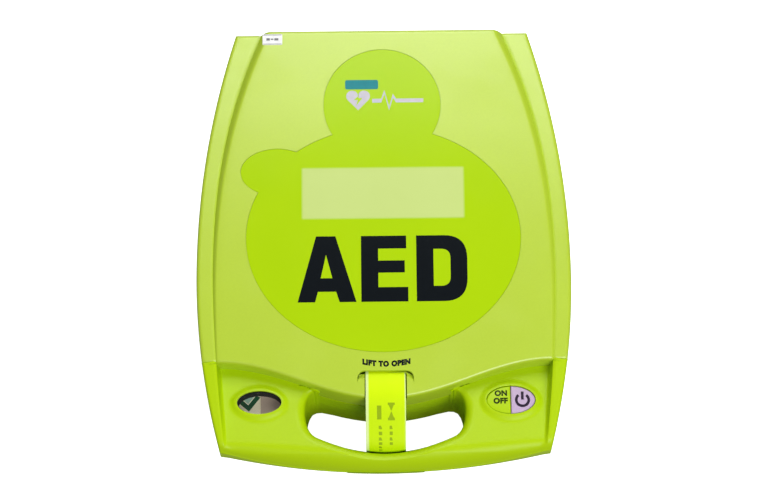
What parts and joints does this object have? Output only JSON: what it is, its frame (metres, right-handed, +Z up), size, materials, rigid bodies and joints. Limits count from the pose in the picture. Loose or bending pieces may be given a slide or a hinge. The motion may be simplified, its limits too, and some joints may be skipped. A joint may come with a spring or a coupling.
{
  "type": "automated external defibrillator",
  "caption": "Portable automated external defibrillator lying on its back: lime case with a hand hole, a lift-off hinged cover with a round-headed label, a status window and a power key.",
  "frame": {"origin": "on the floor under the middle of the case, between the four feet", "axes": "+Z up from the feet towards the cover, +Y away from the handle towards the cover's pivots, +X to the right"},
  "size_m": [0.241, 0.2917, 0.1334],
  "materials": {
    "case_lime": "satin",
    "cover_lime": "satin, lightly textured",
    "label_lime": "printed film",
    "panel_pale": "printed film",
    "key_lilac": "satin",
    "dark_plastic": "satin",
    "grey_plastic": "satin",
    "card_cream": "printed card",
    "clear_lens": "clear",
    "overlay_graphite": "printed film",
    "shock_orange": "gloss",
    "pouch_foil": "satin foil",
    "tab_yellow": "satin film",
    "board_green": "solder mask",
    "steel": "satin",
    "rubber": "matt",
    "cell_wrap": "printed sleeve",
    "copper_coil": "enamelled wire"
  },
  "bodies": {
    "case": {"rear_housing": "case_lime", "front_housing": "case_lime", "case_gasket": "rubber", "status_lens": "clear_lens", "status_card": "card_cream", "status_coil": "copper_coil", "power_label_plate": "case_lime", "key_board": "board_green", "power_switch": "dark_plastic", "control_overlay": "overlay_graphite", "display_window": "clear_lens", "display_module": "dark_plastic", "shock_button_ring": "grey_plastic", "shock_switch": "dark_plastic", "speaker_grille": "dark_plastic", "speaker": "dark_plastic", "connector_socket": "grey_plastic", "infrared_window": "dark_plastic", "pads_package": "pouch_foil", "pads_pull_tab": "tab_yellow", "main_board": "board_green", "power_board": "board_green", "hv_capacitor": "steel", "transformer": "copper_coil", "relay_block": "dark_plastic", "board_ribbon_cable": "grey_plastic", "battery_cell_1": "cell_wrap", "battery_cell_2": "cell_wrap", "battery_cell_3": "cell_wrap", "battery_cell_4": "cell_wrap", "battery_cell_5": "cell_wrap", "battery_cell_6": "cell_wrap", "battery_cell_7": "cell_wrap", "battery_cell_8": "cell_wrap", "battery_cell_9": "cell_wrap", "battery_cell_10": "cell_wrap", "battery_contact_left": "steel", "battery_contact_right": "steel", "case_screw_1": "steel", "case_screw_2": "steel", "case_screw_3": "steel", "case_screw_4": "steel", "case_screw_5": "steel", "case_screw_6": "steel", "foot_1": "rubber", "foot_2": "rubber", "foot_3": "rubber", "foot_4": "rubber"},
    "cover_pivots": {"cover_pivot_pin_left": "steel", "cover_pivot_pin_right": "steel"},
    "cover_lid": {"cover": "cover_lime", "cover_label": "label_lime", "name_panel": "panel_pale"},
    "power_key": {"power_button": "key_lilac"},
    "shock_key": {"shock_button": "shock_orange"},
    "shutter": {"status_shutter": "grey_plastic"},
    "door": {"battery_door": "case_lime"},
    "latch": {"battery_door_latch": "steel"},
    "reset_key": {"battery_reset_button": "rubber"}
  },
  "joints": [
    {"name": "cover_lift", "type": "slide", "parent": "case", "child": "cover_pivots", "axis": [0, 0, 1], "range_m": [0, 0.16]},
    {"name": "cover_tilt", "type": "hinge", "parent": "cover_pivots", "child": "cover_lid", "pos_m": [0, 0.1436, 0.0866], "axis": [-1, 0, 0], "range_deg": [0, 75]},
    {"name": "power_press", "type": "slide", "parent": "case", "child": "power_key", "axis": [0, 0, -1], "range_m": [0, 0.0012], "stiffness_N_per_m": 500, "springref_m": -0.002},
    {"name": "shock_press", "type": "slide", "parent": "case", "child": "shock_key", "axis": [0, 0, -1], "range_m": [0, 0.0012], "stiffness_N_per_m": 700, "springref_m": -0.002},
    {"name": "shutter_slide", "type": "slide", "parent": "case", "child": "shutter", "axis": [-1, 0, 0], "range_m": [0, 0.0148]},
    {"name": "door_slide", "type": "slide", "parent": "case", "child": "door", "axis": [0, 1, 0], "range_m": [0, 0.045]},
    {"name": "latch_turn", "type": "hinge", "parent": "door", "child": "latch", "pos_m": [0, 0.073, 0.003], "axis": [0, 0, -1], "range_deg": [0, 90]},
    {"name": "reset_press", "type": "slide", "parent": "case", "child": "reset_key", "axis": [0, 0, 1], "range_m": [0, 0.0012], "stiffness_N_per_m": 400, "springref_m": -0.002}
  ]
}
